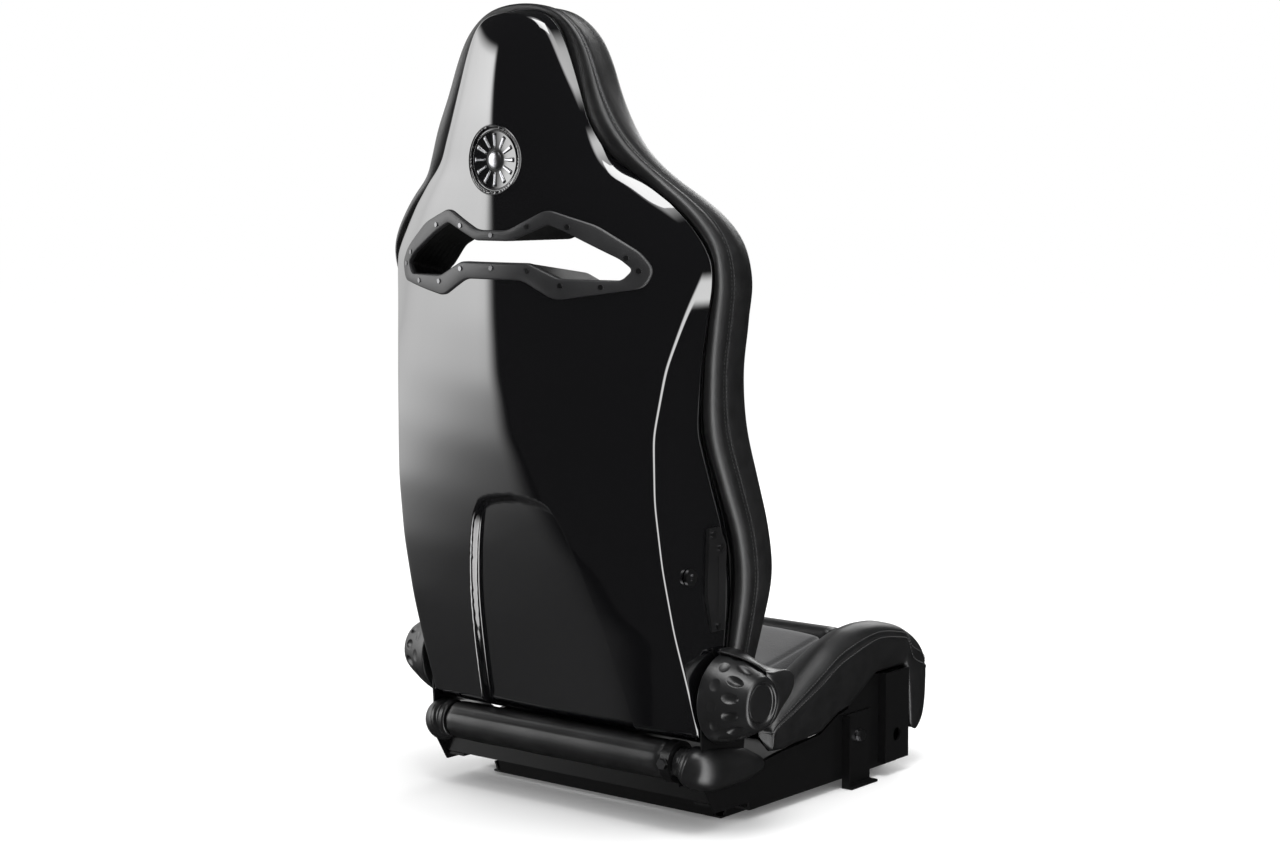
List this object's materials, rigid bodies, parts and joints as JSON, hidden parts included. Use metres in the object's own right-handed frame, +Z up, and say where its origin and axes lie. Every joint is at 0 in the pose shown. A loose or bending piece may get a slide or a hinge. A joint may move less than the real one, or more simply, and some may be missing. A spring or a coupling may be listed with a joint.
{
  "type": "reclining sport seat",
  "caption": "Reclining sport bucket seat with a glossy back shell, harness slot, leather bolsters, fold-forward backrest and steel floor pan.",
  "frame": {"origin": "centre of the four floor bolts, in the underside of the base pan", "axes": "+Z up, the seat faces -Y, the occupant's left side is +X"},
  "size_m": [0.584, 0.6499, 1.018],
  "materials": {
    "gloss_shell": "piano gloss",
    "satin_plastic": "satin moulded",
    "rubber_seal": "matt",
    "badge_metal": "brushed",
    "leather": "grained",
    "centre_fabric": "suede weave",
    "powder_coat": "powder coat",
    "bare_steel": "machined",
    "black_fasteners": "black oxide"
  },
  "bodies": {
    "base": {"base_pan": "powder_coat", "side_plate_left": "powder_coat", "side_plate_right": "powder_coat", "foot_bracket_left": "powder_coat", "foot_bracket_right": "powder_coat", "channel_bracket_left": "powder_coat", "channel_bracket_right": "powder_coat", "front_cross_tube": "powder_coat", "rear_cross_tube": "powder_coat", "rear_crossmember": "powder_coat", "roll_cover": "leather", "roll_bracket": "powder_coat", "roll_collar": "satin_plastic", "hinge_boot_left": "satin_plastic", "hinge_boot_right": "satin_plastic", "boot_tongues": "powder_coat", "cushion_tray": "powder_coat", "cushion_centre": "centre_fabric", "thigh_roll": "leather", "cushion_bolster_left": "leather", "cushion_bolster_right": "leather", "floor_bolts": "black_fasteners", "hex_bolts": "black_fasteners", "recliner_housings": "powder_coat", "lever_bushes": "satin_plastic"},
    "recliner_arms": {"recliner_arm_left": "powder_coat", "recliner_arm_right": "powder_coat", "recliner_gears": "bare_steel", "torque_tube": "powder_coat"},
    "recline_drive": {"knob_left": "satin_plastic", "knob_right": "satin_plastic", "knob_caps": "satin_plastic", "recliner_shaft": "bare_steel"},
    "backrest": {"back_shell": "gloss_shell", "slot_bezel_rear": "satin_plastic", "slot_bezel_front": "satin_plastic", "slot_liner": "satin_plastic", "bezel_screws": "black_fasteners", "edge_seal": "rubber_seal", "badge_ring": "satin_plastic", "badge_disc": "badge_metal", "frame_side_left": "powder_coat", "frame_side_right": "powder_coat", "fold_bushes": "satin_plastic", "frame_lower_tube": "powder_coat", "frame_upper_tube": "powder_coat", "back_springs": "bare_steel", "lumbar_panel": "satin_plastic", "release_cable": "satin_plastic", "flank_cover_left": "satin_plastic", "flank_cover_right": "satin_plastic", "flank_screws": "black_fasteners", "flank_bolts": "black_fasteners", "side_bolster_left": "leather", "side_bolster_right": "leather", "centre_pad": "centre_fabric", "head_pad": "leather"},
    "lever_left": {"release_lever_left": "satin_plastic"},
    "lever_right": {"release_lever_right": "satin_plastic"}
  },
  "joints": [
    {"name": "recline", "type": "hinge", "parent": "base", "child": "recliner_arms", "pos_m": [0, 0.223, 0.168], "axis": [-1, 0, 0], "range_deg": [-8, 50]},
    {"name": "recline_drive_spin", "type": "hinge", "parent": "base", "child": "recline_drive", "pos_m": [0, 0.223, 0.168], "axis": [-1, 0, 0], "range_deg": [-192, 1200]},
    {"name": "fold_forward", "type": "hinge", "parent": "recliner_arms", "child": "backrest", "pos_m": [0, 0.223, 0.168], "axis": [1, 0, 0], "range_deg": [0, 38]},
    {"name": "release_left", "type": "hinge", "parent": "base", "child": "lever_left", "pos_m": [0, 0.223, 0.168], "axis": [-1, 0, 0], "range_deg": [0, 20]},
    {"name": "release_right", "type": "hinge", "parent": "base", "child": "lever_right", "pos_m": [0, 0.223, 0.168], "axis": [-1, 0, 0], "range_deg": [0, 20]}
  ],
  "couplings": [
    {"joint": "recline_drive_spin", "follows": "recline", "ratio": 24}
  ]
}
